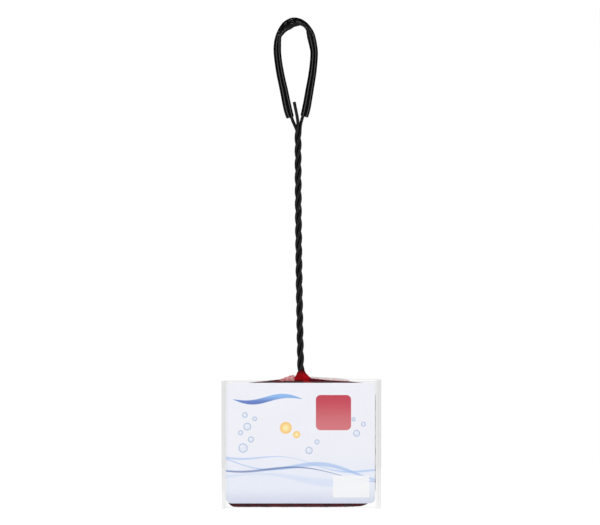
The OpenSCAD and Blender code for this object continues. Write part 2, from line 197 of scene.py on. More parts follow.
def makeCutSteel(s):
    made, shader = newMaterial("cutSteel", s["colour"], 0.38)
    lines = clouds(place(shader, scale=(1, 6, 1)), s["cutLines"], 3, 0.7)
    fill(shader, {"Metallic": 1.0, "Roughness": remap(lines, 0.3, 0.7, *s["roughness"])})
    addBump(shader, lines, 0.25, 0.03 * mm)
    return made


wireCoat = makeWireCoat(wireFinish)
cutSteel = makeCutSteel(steelFinish)


# Soft grip tube: glossy black PVC, with dull dust, fine creases and painted glints over the top

tubeFinish = {
    "colour": (0.0022, 0.0022, 0.0026),
    "dust": (0.03, 0.031, 0.033),
    # pale specks over the top: painted glints standing in for highlights on its creases
    "wearAndGlints": (0.13, 0.133, 0.137),
    "top": (-16 * mm, -4 * mm),  # heights between which the legs pass into the top
    "roughness": (0.1, 0.2),
    "specular": (0.33, 0.24),  # on the legs, over the top
    "creases": 1.7,
}


def makeTubePvc(t):
    made, shader = newMaterial("softBlackPvc", t["colour"], 0.2)
    spot = place(shader)
    high = remap(axes(spot)[2], *t["top"])
    fine = clouds(spot, 1100.0, 4, 0.65)
    broad = clouds(spot, 170.0, 4, 0.6, 0.6)
    dust = calc("MULTIPLY", remap(broad, 0.6, 0.74, 0.0, 0.5), calc("MULTIPLY_ADD", high, 0.4, 0.08))
    face = mixColour(dust, t["colour"], t["dust"])
    # painted glints: pale specks mixed into the colour over the top, where highlights would catch the
    # creases
    glintSpots = clouds(place(shader, scale=(1, 1, 1.8)), 520.0, 2, 0.5, 0.8)
    wearAndGlints = calc("MULTIPLY", remap(glintSpots, 0.63, 0.73), remap(high, 0.0, 0.5))
    fill(shader, {"Base Color": mixColour(wearAndGlints, face, t["wearAndGlints"]),
                  "Roughness": remap(broad, 0.3, 0.75, *t["roughness"]),
                  "Specular IOR Level": remap(high, 0.0, 1.0, *t["specular"])})
    creases = calc("MULTIPLY", calc("MULTIPLY", clouds(spot, 380.0, 2, 0.5, 1.4), high), t["creases"])
    addBump(shader, calc("ADD", calc("MULTIPLY", fine, 0.006), creases), 0.4, 0.6 * mm)
    return made


tubePvc = makeTubePvc(tubeFinish)


# Red nylon mesh: two sets of fine threads crossing on the cloth's own flat coordinates, open between them

meshFinish = {
    "pitch": 0.95 * mm,
    # share that the threads cover, two colours that they vary between, roughness, specular, patches' scale
    "net": (0.23, (0.56, 0.006, 0.012), (0.82, 0.025, 0.04), 0.5, 0.25, 120.0),
    # the tuck's pale pink patches are painted light: the red mesh coloured as if lit through from behind
    "tuck": (0.4, (0.42, 0.02, 0.03), (0.8, 0.45, 0.45), 0.5, 0.05, 420.0),
    # the hem's two colours are painted shade: the same red mesh darkened to near black, as in shade behind
    # the card and film
    "hem": (0.76, (0.04, 0.001, 0.005), (0.11, 0.003, 0.012), 0.6, 0.05, 120.0),
    "gather": (0.88, (0.22, 0.0005, 0.002), (0.38, 0.003, 0.008), 0.55, 0.05, 120.0),
    # painted shade: near black for the gather's top over the dark wire and for its shaded foot
    "shadeOverWire": (0.008, 0.001, 0.0015),
    "shaded": (-286.2 * mm, -280.8 * mm),  # heights between which the gather's top is painted dark, shade over the dark wire
    "shadedFoot": (-288.9 * mm, -290.0 * mm),  # heights between which painted shade darkens its foot
    "shadedFootSide": (5.0 * mm, 7.0 * mm),  # and across
}


def makeMesh(name, m, cloth):
    cover, deep, bright, roughness, specular, patches = m[cloth]
    made, shader = newMaterial(name, deep, roughness, specular)
    flat = place(shader, "UV")
    along, across = (calc("DIVIDE", axes(flat)[i], m["pitch"]) for i in (0, 1))
    wander = calc("MULTIPLY_ADD", clouds(flat, 260.0, 2), 0.5, -0.25)
    sets = [calc("PINGPONG", calc("ADD", calc(way, along, across), wander), 0.5)
            for way in ("ADD", "SUBTRACT")]
    nearest = calc("MINIMUM", *sets)
    threads = remap(nearest, cover * 0.5 - 0.05, cover * 0.5 + 0.05, 1.0, 0.0)
    shade = mixColour(remap(clouds(flat, patches), 0.3, 0.7), deep, bright)
    if cloth == "gather":
        # painted shade: the top over the wire and the foot on the left darkened, with the threads thicker
        # there
        spot = axes(place(shader))
        foot = remap(spot[2], *m["shadedFoot"], 0.0, 0.85)
        foot = calc("MULTIPLY", foot, remap(spot[0], *m["shadedFootSide"], 1.0, 0.0))
        dark = calc("MAXIMUM", remap(spot[2], *m["shaded"], 0.0, 0.95), foot)
        shade = mixColour(dark, shade, m["shadeOverWire"])
        threads = calc("MAXIMUM", threads, remap(dark, 0.0, 0.6, 0.0, 0.6))
    fill(shader, {"Alpha": threads, "Base Color": shade, "Sheen Weight": 0.02, "Sheen Roughness": 0.4})
    addBump(shader, calc("SUBTRACT", 0.5, nearest), 0.6, 0.15 * mm)
    return made


netMesh = makeMesh("redNetMesh", meshFinish, "net")
# the hem's dark red is painted shade on the red mesh
shadedHemMesh = makeMesh("shadedRedHemMesh", meshFinish, "hem")
gatherMesh = makeMesh("redGatheredMesh", meshFinish, "gather")
# its pale pink is painted light through the mesh
backlitTuckMesh = makeMesh("paleBacklitTuckMesh", meshFinish, "tuck")

threadFinish = {
    "colour": (0.35, 0.006, 0.012),
    "twisted": ((0.25, 0.004, 0.008), (0.5, 0.012, 0.02)),
    "twist": 3800.0,
}


def makeThread(t):
    made, shader = newMaterial("redSewingThread", t["colour"], 0.42)
    twist = clouds(place(shader), t["twist"], 2)
    fill(shader, {"Base Color": mixColour(twist, *t["twisted"]), "Sheen Weight": 0.3})
    addBump(shader, twist, 0.4, 0.06 * mm)
    return made


sewingThread = makeThread(threadFinish)
print("wire, tube and mesh finishes ready")


# Insert card: pale blue print with wave bands, bubbles, yellow discs and a red patch; plain board behind

card = {
    "top": (0.855, 0.863, 0.921),
    "middle": (0.815, 0.845, 0.935),
    "foot": (0.66, 0.69, 0.82),
    "middleFade": (-27.0, -4.0),  # heights of the changes, in mm from the card's middle as all below
    "footFade": (-51.0, -36.0),
    "board": ((0.72, 0.72, 0.70), (0.8, 0.8, 0.79)),
    # middle height, tilt, swing, waves per mm, phase, half thickness, colour, strength
    "bands": [
        (-20.0, -0.10, 4.5, 0.062, 0.4, 1.5, (0.26, 0.45, 0.82), 0.6),
        (-23.5, -0.07, 3.6, 0.055, 1.5, 0.8, (0.06, 0.15, 0.42), 0.75),
        (-16.0, -0.12, 3.2, 0.071, 2.4, 0.7, (0.33, 0.52, 0.88), 0.65),
        (-29.0, -0.04, 2.6, 0.060, 3.3, 2.8, (0.5, 0.64, 0.9), 0.32),
    ],
    # x, height, radius
    "bubbles": [(-47, -4, 3.4), (-40.5, 3, 2.1), (-49, 8.5, 1.7), (-43.5, 13.5, 2.8), (-37.5, 20, 1.5),
                (-45.5, 23, 1.9), (46, 8, 2.4), (51.5, 15.5, 1.6), (43.5, 19.5, 1.3), (7, -6, 2.6),
                (13.5, 1, 1.7)],
    "bubbleTints": ((0.2, 0.4, 0.8), (0.16, 0.3, 0.6), (1.0, 1.0, 1.0)),  # inside, rim, shine
    "discs": [(-12.0, 12.5, 5.2), (-3.2, 7.0, 3.3)],
    "discTints": ((0.98, 0.86, 0.42), (0.93, 0.55, 0.12)),  # middle, edge
    "stroke": (-27.0, 36.0, 29.0, 2.6, 2.6),  # x, height, half length, swing, half thickness
    "strokeTints": ((0.03, 0.12, 0.5), (0.2, 0.45, 0.85)),  # below, above
    "patch": (27.0, 25.0, 14.5, 4.0),  # x, height, half side, corner radius
    "patchTints": ((0.62, 0.08, 0.13), (0.5, 0.012, 0.03), (0.85, 0.42, 0.42)),  # gaps, threads, foot
    "patchWeave": 1.1,
    "panel": (41.5, -35.5, 15.0, 9.0),  # x, height, half width, half height
    "panelTint": (0.93, 0.93, 0.94),
}


def makeCardPrint(c):
    made, shader = newMaterial("printedCard", c["top"], 0.32)
    low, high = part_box("insert_card")
    middle = (low + high) / 2
    spot = axes(place(shader))

    def minus(a, b):
        return calc("SUBTRACT", a, b)

    def apart(a, b):
        return calc("ABSOLUTE", minus(a, b))

    def across(a, b):
        return calc("SQRT", calc("ADD", calc("POWER", a, 2.0), calc("POWER", b, 2.0)))

    def fromSpot(cx, cz):
        return across(minus(x, cx), minus(z, cz))

    def fromBox(cx, cz, halfX, halfZ, corner):
        return across(calc("MAXIMUM", minus(apart(x, cx), halfX - corner), 0.0),
                      calc("MAXIMUM", minus(apart(z, cz), halfZ - corner), 0.0))

    def paint(under, over, value, start, end, first=1.0, last=0.0):
        return mixColour(remap(value, start, end, first, last), under, over)

    x = calc("DIVIDE", minus(spot[0], middle.x), mm)
    z = calc("DIVIDE", minus(spot[2], middle.z), mm)
    face = paint(c["middle"], c["top"], z, *c["middleFade"], 0.0, 1.0)
    face = paint(c["foot"], face, z, *c["footFade"], 0.0, 1.0)

    for base, tilt, swing, waves, phase, half, colour, strength in c["bands"]:
        wave = calc("SINE", calc("MULTIPLY_ADD", x, waves, phase))
        line = calc("MULTIPLY_ADD", wave, swing, calc("MULTIPLY_ADD", x, tilt, base))
        swell = calc("SINE", calc("MULTIPLY_ADD", x, waves * 0.8, phase * 2))
        swell = calc("MULTIPLY_ADD", swell, half * 0.6, half)
        face = paint(face, colour, calc("DIVIDE", apart(z, line), swell), 0.35, 1.0, strength)

    inside, rim, shine = c["bubbleTints"]
    for cx, cz, r in c["bubbles"]:
        off = fromSpot(cx, cz)
        face = paint(face, inside, off, r - 0.5, r, 0.12)
        face = paint(face, rim, apart(off, r), 0.12, 0.45, 0.75)
        face = paint(face, shine, fromSpot(cx - r * 0.35, cz + r * 0.35), r * 0.1, r * 0.28, 0.9)

    for cx, cz, r in c["discs"]:
        off = fromSpot(cx, cz)
        face = paint(face, paint(*c["discTints"], off, 0.0, r, 0.0, 1.0), off, r - 0.7, r, 0.95)

    cx, cz, half, swing, thick = c["stroke"]
    wave = calc("MULTIPLY", calc("SINE", calc("MULTIPLY", minus(x, cx), pi / half)), swing)
    taper = calc("POWER", calc("DIVIDE", minus(x, cx), half), 2.0)
    taper = calc("SUBTRACT", 1.0, taper, clamp=True)
    body = calc("DIVIDE", apart(minus(z, cz), wave), calc("MULTIPLY_ADD", taper, thick, 0.01))
    share = calc("MULTIPLY", remap(body, 0.75, 1.0, 0.9, 0.0), remap(taper, 0.0, 0.05))
    face = mixColour(share, face, paint(*c["strokeTints"], z, cz - 3, cz + 3, 0.0, 1.0))

    cx, cz, half, corner = c["patch"]
    gaps, threads, pale = c["patchTints"]
    sets = [calc("PINGPONG", calc("DIVIDE", calc(way, x, z), c["patchWeave"]), 0.5)
            for way in ("ADD", "SUBTRACT")]
    red = paint(gaps, threads, calc("MINIMUM", *sets), 0.1, 0.22)
    red = paint(red, pale, z, cz - half, cz + half, 0.35)
    face = paint(face, red, fromBox(cx, cz, half, half, corner), corner - 0.25, corner + 0.1)
    face = paint(face, c["panelTint"], fromBox(*c["panel"], 1.0), 0.8, 1.1, 0.85)

    fibres = clouds(place(shader), 900.0, 4, 0.6)
    front = calc("LESS_THAN", spot[1], low.y + 0.05 * mm)
    board = mixColour(fibres, *c["board"])
    rough = calc("MULTIPLY_ADD", front, -0.3, calc("MULTIPLY_ADD", fibres, 0.1, 0.6))
    fill(shader, {"Base Color": mixColour(front, board, face), "Roughness": rough})
    addBump(shader, fibres, 0.06, 0.05 * mm)
    return made


cardPrint = makeCardPrint(card)


# Clear film: a see-through share and a thin glossy share, more at a slant and along cut edges

filmFinish = {
    # glossy share, its colour, roughness, specular, pitch of pressed ribs
    "clear": (0.06, (0.2, 0.2, 0.206), 0.09, 0.5, 0.0),
    "welded": (0.2, (0.24, 0.24, 0.25), 0.3, 0.2, 1.1 * mm),
    "sealed": (0.05, (0.24, 0.24, 0.25), 0.3, 0.5, 0.0),
    # what is added to that share
    "slant": 0.15,
    "ribs": 0.18,
    "cut": 0.16,
}


def makeFilm(f, kind):
    share, veil, roughness, specular, ribs = f[kind]
    made, shader = newMaterial(kind + "Film", veil, roughness, specular)
    clear, mix, slant, edge = (newNode(shader, node) for node in
                               ("BsdfTransparent", "MixShader", "LayerWeight", "Attribute"))
    plug(slant.inputs["Blend"], 0.25)
    haze = clouds(place(shader), 45.0)
    fac = calc("MULTIPLY_ADD", slant.outputs["Facing"], f["slant"], share)
    fac = calc("MULTIPLY_ADD", haze, share * 0.4, fac)
    if ribs:
        down = axes(place(shader, "UV"))[1]
        press = calc("PINGPONG", calc("DIVIDE", down, ribs), 0.5)
        fac = calc("MULTIPLY_ADD", press, f["ribs"], fac)
    edge.attribute_name = "filmEdge"
    fac = calc("MULTIPLY_ADD", edge.outputs["Fac"], f["cut"], fac, clamp=True)
    for socket, value in zip(mix.inputs, (fac, clear.outputs[0], shader.outputs[0])):
        plug(socket, value)
    plug(made.node_tree.nodes["Material Output"].inputs["Surface"], mix.outputs[0])
    addBump(shader, haze, 0.15, 0.6 * mm)
    return made


clearFilm, weldedFilm, sealedFilm = (makeFilm(filmFinish, kind) for kind in ("clear", "welded", "sealed"))
print("card and film finishes ready")


# Shared making steps

def only(piece):
    bpy.ops.object.select_all(action="DESELECT")
    piece.select_set(True)
    bpy.context.view_layer.objects.active = piece


def settle():
    bpy.ops.object.transform_apply(location=True, rotation=True, scale=True)


def dress(piece, name, body, slot, finish, *nodes):
    only(piece)
    settle()
    piece.name = piece.data.name = name
    piece.data.materials.clear()
    piece.data.materials.append(finish)
    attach(piece, body)
    if nodes:
        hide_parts(*nodes)
    piece.select_set(False)


def applyAll(piece):
    only(piece)
    for modifier in list(piece.modifiers):
        bpy.ops.object.modifier_apply(modifier=modifier.name)


def mode(name):
    bpy.ops.object.mode_set(mode=name)


# The active piece's doubles merged and its faces turned outwards
def closeUp(merged=True, outwards=True):
    mode("EDIT")
    bpy.ops.mesh.select_all(action="SELECT")
    if merged:
        bpy.ops.mesh.remove_doubles(threshold=0.001 * mm)
    if outwards:
        bpy.ops.mesh.normals_make_consistent(inside=False)
    mode("OBJECT")


# Round wire: one vertex extruded from point to point, then given its thickness as a curve
def roundWire(points, radius, roundness=6):
    bpy.ops.mesh.primitive_plane_add(size=radius, location=points[0])
    wire = bpy.context.object
    mode("EDIT")
    bpy.ops.mesh.merge(type="CENTER")
    for here, there in zip(points, points[1:]):
        bpy.ops.mesh.extrude_vertices_move(TRANSFORM_OT_translate={"value": there - here})
    mode("OBJECT")
    bpy.ops.object.convert(target="CURVE")
    wire.data.dimensions = "3D"
    wire.data.bevel_depth = radius
    wire.data.bevel_resolution = roundness
    wire.data.use_fill_caps = True
    bpy.ops.object.convert(target="MESH")
    closeUp()
    bpy.ops.object.shade_smooth_by_angle(angle=radians(40))
    return wire


# Cloth and film: a grid whose vertices go where a function of its width and length, from 0 to 1, says
def shapedSheet(columns, rows, size, where, closed=False):
    bpy.ops.mesh.primitive_grid_add(x_subdivisions=columns, y_subdivisions=rows, size=1, calc_uvs=True)
    sheet = bpy.context.object
    for vertex in sheet.data.vertices:
        vertex.co = where(vertex.co.x + 0.5, vertex.co.y + 0.5)
    for corner in sheet.data.uv_layers.active.data:
        corner.uv = (corner.uv[0] * size[0], corner.uv[1] * size[1])
    if closed:
        closeUp(outwards=False)
    bpy.ops.object.shade_smooth()
    return sheet


def mixed(a, b, share):
    return a + (b - a) * share


def eased(value, low, high):
    share = min(1.0, max(0.0, (value - low) / (high - low)))
    return share * share * (3 - 2 * share)


def uneven(*at):
    return noise.noise(Vector(at))


def bend(p0, p1, p2, p3, t):
    return p0 * (1 - t) ** 3 + p1 * 3 * (1 - t) ** 2 * t + p2 * 3 * (1 - t) * t ** 2 + p3 * t ** 3


# Value at a place in a table of (place, value, value...), eased between its rows
def fromTable(table, at, column=1):
    if at <= table[0][0]:
        return table[0][column]
    for before, after in zip(table, table[1:]):
        if at <= after[0]:
            return mixed(before[column], after[column], eased(at, before[0], after[0]))
    return table[-1][column]


# Length of a line of points up to each of them
def runningLengths(points):
    lengths = [0.0]
    for a, b in zip(points, points[1:]):
        lengths.append(lengths[-1] + (b - a).length)
    return lengths


# Point at a share of the length of a line of points, rounded through them
def alongLine(points, share):
    lengths = runningLengths(points)
    goal = share * lengths[-1]
    i = max(k for k in range(len(points) - 1) if lengths[k] <= goal + 1e-9)
    t = (goal - lengths[i]) / (lengths[i + 1] - lengths[i])
    p0, p1, p2, p3 = (points[min(max(k, 0), len(points) - 1)] for k in (i - 1, i, i + 1, i + 2))
    return 0.5 * (2 * p1 + (p2 - p0) * t + (2 * p0 - 5 * p1 + 4 * p2 - p3) * t * t
                  + (3 * p1 - p0 - 3 * p2 + p3) * t ** 3)


# Twisted stem and its loop

stem = {
    "wireR": 1.325 * mm,
    "strandGap": 0.05 * mm,
    "top": -83.0 * mm,
    "length": 197.0 * mm,
    "pitch": 32.8 * mm,
    "offset": 1.85 * mm,
    "bow": 2.2 * mm,
    "tailAngle": 267.0,
    "looseness": 0.012,
    "pointsPerTurn": 26,
    "neckDrop": 9.6 * mm,
    "neckHalf": 9.2 * mm,
    "neckPull": 0.76,  # how far its bends follow the strand and the shoulder
    "shoulderSlope": 6.0,
    "frameMiddle": 4.6 * mm,
}
loop = {
    "width": 30.2 * mm,
    "widest": -20.0 * mm,
    "crown": 4.41 * mm,
    "legLean": 0.8 * mm,
    "legPowers": {-1: 1.45, 1: 1.7},
    "legPull": 0.4,
    "tubeEnd": -73.8 * mm,
    "tubeCover": 12 * mm,  # how far the strands run up inside the tube
    "tailLength": 21.5 * mm,
    "tailLean": 3.1 * mm,
}
layAngle = atan2(2 * pi * 2 * stem["wireR"] / sqrt(3), stem["pitch"])
packR = (2 * stem["wireR"] + stem["strandGap"]) / sqrt(3) / cos(layAngle)
stemFoot = stem["top"] - stem["length"]
leadFoot = stem["top"] - 2 * stem["wireR"]
legCut = loop["tubeEnd"] - stem["wireR"]
tubeInside = loop["tubeEnd"] + loop["tubeCover"]


def strandAt(k, z):
    angle = radians(stem["tailAngle"] + 120 * k + 360 * (z - stem["top"]) / stem["pitch"])
    middle = stem["offset"] + stem["bow"] * max(0.0, (stem["top"] - z) / stem["length"]) ** 2
    loose = 1 + stem["looseness"] * uneven(k * 7.0, z * 60, 0)
    return Vector((middle + packR * loose * cos(angle), packR * loose * sin(angle), z))


def strandDir(k, z):
    return (strandAt(k, z - stem["wireR"]) - strandAt(k, z + stem["wireR"])).normalized()


def twist(k):
    count = int(stem["length"] / stem["pitch"] * stem["pointsPerTurn"])
    levels = [stem["top"] - stem["length"] * i / count for i in range(count + 1)]
    return [strandAt(k, z) for z in levels if z < leadFoot - stem["wireR"] / 2]


def legAt(side, z):
    share = max(0.0, (loop["widest"] - z) / (loop["widest"] - stem["top"])) ** loop["legPowers"][side]
    foot = stem["offset"] - loop["legLean"] + side * packR
    return Vector((mixed(side * loop["width"] / 2, foot, share), 0, z))


def crownAt(angle):
    rise = loop["crown"] - loop["widest"]
    return Vector((loop["width"] / 2 * cos(angle), 0, loop["widest"] + rise * sin(angle)))


# From a leg of the loop into the top of the twist
def leadIn(side, k):
    above = [legAt(side, mixed(tubeInside, legCut, i / 12)) for i in range(12)]
    top, foot = legAt(side, legCut), strandAt(k, leadFoot)
    reach = (legCut - leadFoot) * loop["legPull"]
    heading = (legAt(side, legCut - 0.5 * mm) - legAt(side, legCut + 0.5 * mm)).normalized()
    pulls = (top + heading * reach, foot - strandDir(k, leadFoot) * reach)
    return above + [bend(top, *pulls, foot, i / 12) for i in range(12)]


# From the foot of the twist out into a shoulder of the frame
def neckBend(side, k):
    slope = radians(stem["shoulderSlope"])
    outward = Vector((side * cos(slope), 0, -sin(slope)))
    top = strandAt(k, stemFoot)
    foot = Vector((stem["frameMiddle"] + side * stem["neckHalf"], 0, stemFoot - stem["neckDrop"]))
    pulls = (top + strandDir(k, stemFoot) * stem["neckDrop"] * stem["neckPull"],
             foot - outward * stem["neckHalf"] * stem["neckPull"])
    return [bend(top, *pulls, foot, i / 14) for i in range(1, 15)]


# The tail: the wire's free cut end between the legs of the loop
tailTop = Vector((stem["offset"] - loop["tailLean"], -packR, stem["top"] + loop["tailLength"]))
tailHeading = (strandAt(0, stem["top"]) - tailTop).normalized()
tailFoot = strandAt(0, leadFoot)
tailPulls = (tailTop + tailHeading * loop["tailLength"] * loop["legPull"],
             tailFoot - strandDir(0, leadFoot) * loop["tailLength"] * loop["legPull"])
tailLead = [bend(tailTop, *tailPulls, tailFoot, i / 16) for i in range(16)]


def addWire(points, name, *nodes):
    dress(roundWire(points, stem["wireR"]), name, "net", "coated_wire", wireCoat, *nodes)


addWire(leadIn(1, 1) + twist(1), "rightStrand", "right_strand")
addWire(leadIn(-1, 2) + twist(2) + neckBend(-1, 2), "leftStrand", "left_strand")
addWire(tailLead + twist(0) + neckBend(1, 0), "tailStrand", "tail_strand")


# Grip tube: a round tube drawn over the loop, then flattened and folded over the top as it was pushed round

tube = {
    "girth": 6.3 * mm,
    "thinnest": 4.6 * mm,
    "wall": 0.65 * mm,
    "rim": 0.12 * mm,
    "sides": 32,
    "rings": (26, 60),  # along a leg, over the top
    "ends": {1: -73.1 * mm, -1: -73.9 * mm},
    "endShift": 1.15 * mm,  # its ends lean off the wire, away from the middle
    # height on the legs, depth across the tube, in mm
    "legs": [(-74.6, 6.2), (-71.5, 6.9), (-66, 7.1), (-55, 6.9), (-40, 6.55), (-27, 6.35), (-20, 6.4)],
    # angle over the top from the right, reach outside and inside the loop's own line in mm
    "crown": [(0, 3.1, -3.3), (10, 2.8, -3.85), (20, 2.75, -4.15), (30, 3.0, -4.05), (40, 3.0, -3.1),
              (50, 2.85, -1.85), (60, 2.95, -1.8), (70, 3.05, -2.4), (80, 3.15, -3.5), (90, 3.4, -4.25),
              (100, 3.7, -4.45), (110, 3.8, -4.75), (120, 4.0, -4.5), (130, 3.8, -3.4), (140, 3.7, -2.5),
              (150, 3.6, -1.5), (160, 3.55, -2.3), (170, 3.4, -2.95), (180, 3.25, -3.15)],
    "keel": 0.42,  # how narrow its crushed inner side is pinched
    "crease": 0.32 * mm,
    "softness": 0.05,  # in mm
}


def outwardAt(angle):
    rise = loop["crown"] - loop["widest"]
    return Vector((cos(angle) / loop["width"] * 2, 0, sin(angle) / rise)).normalized()


# Each ring: middle, outward direction, reach outside and inside, how crushed it is
def legRings(side, t):
    count = t["rings"][0]
    rings = []
    for i in range(count):
        z = mixed(t["ends"][side], loop["widest"], i / count)
        here = legAt(side, z)
        along = (legAt(side, z + 0.5 * mm) - here).normalized()
        outward = Vector((along.z, 0, -along.x)) * side
        half = fromTable(t["legs"], z / mm) / 2 * mm
        lean = t["endShift"] * eased(-z, 48 * mm, 73 * mm)
        rings.append((here + outward * lean, outward, half, -half, 0.0))
    return rings


def crownRings(t):
    count = t["rings"][1]
    rings = []
    for i in range(count + 1):
        degrees = 180 * i / count
        angle = radians(degrees)
        outer, inner = (fromTable(t["crown"], degrees, n) * mm for n in (1, 2))
        crushed = eased(degrees, 12, 50) * eased(180 - degrees, 12, 40)
        rings.append((crownAt(angle), outwardAt(angle), outer, inner, crushed))
    return rings


def makeTube(t):
    rings = legRings(1, t) + crownRings(t) + legRings(-1, t)[::-1]
    middle, outward = rings[0][:2]
    bpy.ops.mesh.primitive_circle_add(vertices=t["sides"], radius=t["girth"] / 2, location=middle,
                                      rotation=(0, atan2(-outward.z, outward.x), 0))
    made = bpy.context.object
    only(made)
    settle()
    mode("EDIT")
    for before, after in zip(rings, rings[1:]):
        bpy.ops.mesh.extrude_edges_move(TRANSFORM_OT_translate={"value": after[0] - before[0]})
    mode("OBJECT")
    for i, (middle, outward, outer, inner, crushed) in enumerate(rings):
        depth = (outer - inner) / 2
        width = max(t["girth"] - depth, t["thinnest"] / 2)
        centre = middle + outward * (outer + inner) / 2
        for j in range(t["sides"]):
            turn = 2 * pi * j / t["sides"]
            inside = (1 - cos(turn)) / 2
            keel = 1 - t["keel"] * crushed * inside * inside * eased(depth, 3.0 * mm, 3.9 * mm)
            spot = centre + outward * depth * cos(turn)
            spot.y = width * sin(turn) * keel
            ripple = noise.noise(spot * 330) * 0.6 + noise.noise(spot * 800) * 0.35
            soft = noise.noise(spot * 110 + Vector((3, 1, 2))) * t["softness"] * mm
            press = t["crease"] * crushed * ripple * (0.35 + 0.65 * inside)
            away = (spot - centre).normalized()
            made.data.vertices[i * t["sides"] + j].co = spot + away * (press + soft)
    closeUp(merged=False)
    made.modifiers.new("smooth", "SUBSURF").levels = 1
    wall = made.modifiers.new("wall", "SOLIDIFY")
    wall.thickness = t["wall"]
    wall.offset = -1
    rim = made.modifiers.new("rim", "BEVEL")
    rim.width = t["rim"]
    rim.segments = 2
    rim.limit_method = "ANGLE"
    rim.angle_limit = radians(60)
    applyAll(made)
    bpy.ops.object.shade_smooth_by_angle(angle=radians(50))
    return made


dress(makeTube(tube), "gripTube", "net", "grip_pvc", tubePvc, "grip_tube")


# The wire inside the tube, which lies in the middle of its flattened top
def hiddenWire(t):
    points = [legAt(1, mixed(tubeInside, loop["widest"], i / 20)) for i in range(20)]
    for i in range(49):
        degrees = 180 * i / 48
        outer, inner = (fromTable(t["crown"], degrees, n) for n in (1, 2))
        rise = max(0.45, (outer + inner) / 2) * mm
        rise *= eased(degrees, -4, 30) * eased(180 - degrees, -4, 30)
        points.append(crownAt(radians(degrees)) + outwardAt(radians(degrees)) * rise)
    return points + [legAt(-1, mixed(loop["widest"], tubeInside, i / 20)) for i in range(1, 21)]


addWire(hiddenWire(tube), "gripWire", "grip_wire")
print("wire twisted and grip tube on")


# Frame line, from the neck's right side round to its left, with its outward direction at each step

frameLine = {
    "sides": ("top_left", "top_right", "left", "right", "bottom"),
    "middle": 4.6 * mm,
    "halfWidth": 60.175 * mm,
    "corner": 9.0 * mm,
    "lowCorners": {"left": 6.5 * mm, "right": 13.0 * mm},
    "drawnIn": 0.985,  # the right half, pulled in a little by its hem
    "foot": -289.6 * mm,
    "topArc": -303.06 * mm,
    "lowArc": -382.41 * mm,
    "step": 1.15 * mm,
    # the hem's end under the gather, back from the foot and up from it
    "underGather": [(4.4 * mm, 0.85 * mm), (2.2 * mm, 0.33 * mm), (0, 0)],
}


def halfFrame(f, lowCorner):
    slope = radians(stem["shoulderSlope"])
    bottom = f["lowArc"] - f["corner"]
    points = [Vector((stem["neckHalf"] - over, 0, f["foot"] + up)) for over, up in f["underGather"]]
    arcs = ((f["topArc"], f["corner"], pi / 2 - slope, 0), (bottom + lowCorner, lowCorner, 0, -pi / 2))
    for z, radius, first, last in arcs:
        centre = Vector((f["halfWidth"] - radius, 0, z))
        for turn in (mixed(first, last, i / 14) for i in range(15)):
            points.append(centre + Vector((cos(turn), 0, sin(turn))) * radius)
    return points + [Vector((0, 0, bottom))]


def wholeFrame(f):
    left = halfFrame(f, f["lowCorners"]["left"])[-2::-1]
    line = halfFrame(f, f["lowCorners"]["right"]) + [Vector((-p.x, 0, p.z)) for p in left]
    line = [Vector((f["middle"] + p.x * (1 if p.x < 0 else f["drawnIn"]), 0, p.z)) for p in line]
    lengths = runningLengths(line)
    count = int(lengths[-1] / f["step"])
    steps, k = [], 0
    for i in range(count + 1):
        goal = lengths[-1] * i / count
        while k < len(line) - 2 and lengths[k + 1] < goal:
            k += 1
        steps.append(line[k].lerp(line[k + 1], (goal - lengths[k]) / (lengths[k + 1] - lengths[k])))
    outs = []
    for i in range(count + 1):
        along = (steps[min(i + 2, count)] - steps[max(i - 2, 0)]).normalized()
        outs.append(Vector((-along.z, 0, along.x)))
    return steps, outs, lengths[-1]


frameSteps, frameOuts, frameLength = wholeFrame(frameLine)
addWire([p for p in frameSteps if p.z < frameLine["foot"]], "frameWire",
        *("frame_" + side for side in frameLine["sides"]))


# Hem: the mesh turned round the frame wire and sewn to itself, puckered along its run

hem = {
    # across the turned cloth, outwards from the wire's middle and back from it, in mm
    "section": [(-4.4, 0.95), (-2.7, 0.8), (-1.55, -0.6), (-0.6, -1.5), (0.6, -1.42), (1.35, -0.7),
                (1.48, 0.2), (1.2, 1.0), (0.45, 1.55), (-0.7, 1.65), (-1.9, 1.4), (-3.0, 1.28),
                (-4.4, 1.2)],
    "slack": 0.75 * mm,  # how far the cloth hangs below the frame's lowest side
    "rows": 22,
    "pucker": 0.16 * mm,
    "seamIn": -3.3 * mm,
    "stitchPitch": 2.4 * mm,
    "stitchR": 0.16 * mm,
    "stitchLong": 5.2,  # its length over its thickness
    "stitchDrift": 0.12 * mm,
    "stitchDepths": {1: 1.5 * mm, -1: 0.68 * mm},  # on the hem's back and on its front
}


def makeHem(h):
    last = len(frameSteps) - 1
    section = [Vector((o, y, 0)) * mm for o, y in h["section"]]

    def where(u, v):
        i = round(u * last)
        at, out = frameSteps[i], frameOuts[i]
        spot = alongLine(section, v)
        run = u * frameLength
        loose = uneven(run * 420, v * 5, 1) + 0.5 * uneven(run * 900, v * 9, 4)
        spread = Vector((spot.x, spot.y, 0)).normalized() * h["pucker"] * loose
        hangs = mixed(1.0, 0.35, eased(at.x, 30 * mm, 55 * mm)) * eased(-out.z, 0.5, 1.0)
        hangs += eased(out.z, 0.5, 1.0) * eased(at.x, 25 * mm, 45 * mm)
        spread.x += h["slack"] * hangs * eased(spot.x, -1 * mm, 1 * mm)
        return at + out * (spot.x + spread.x) + Vector((0, spot.y + spread.y, 0))

    return shapedSheet(last, h["rows"], (frameLength, runningLengths(section)[-1]), where)


hemSleeve = makeHem(hem)
dress(hemSleeve, "hemSleeve", "net", "hem_mesh", shadedHemMesh, *("hem_" + side for side in frameLine["sides"]))


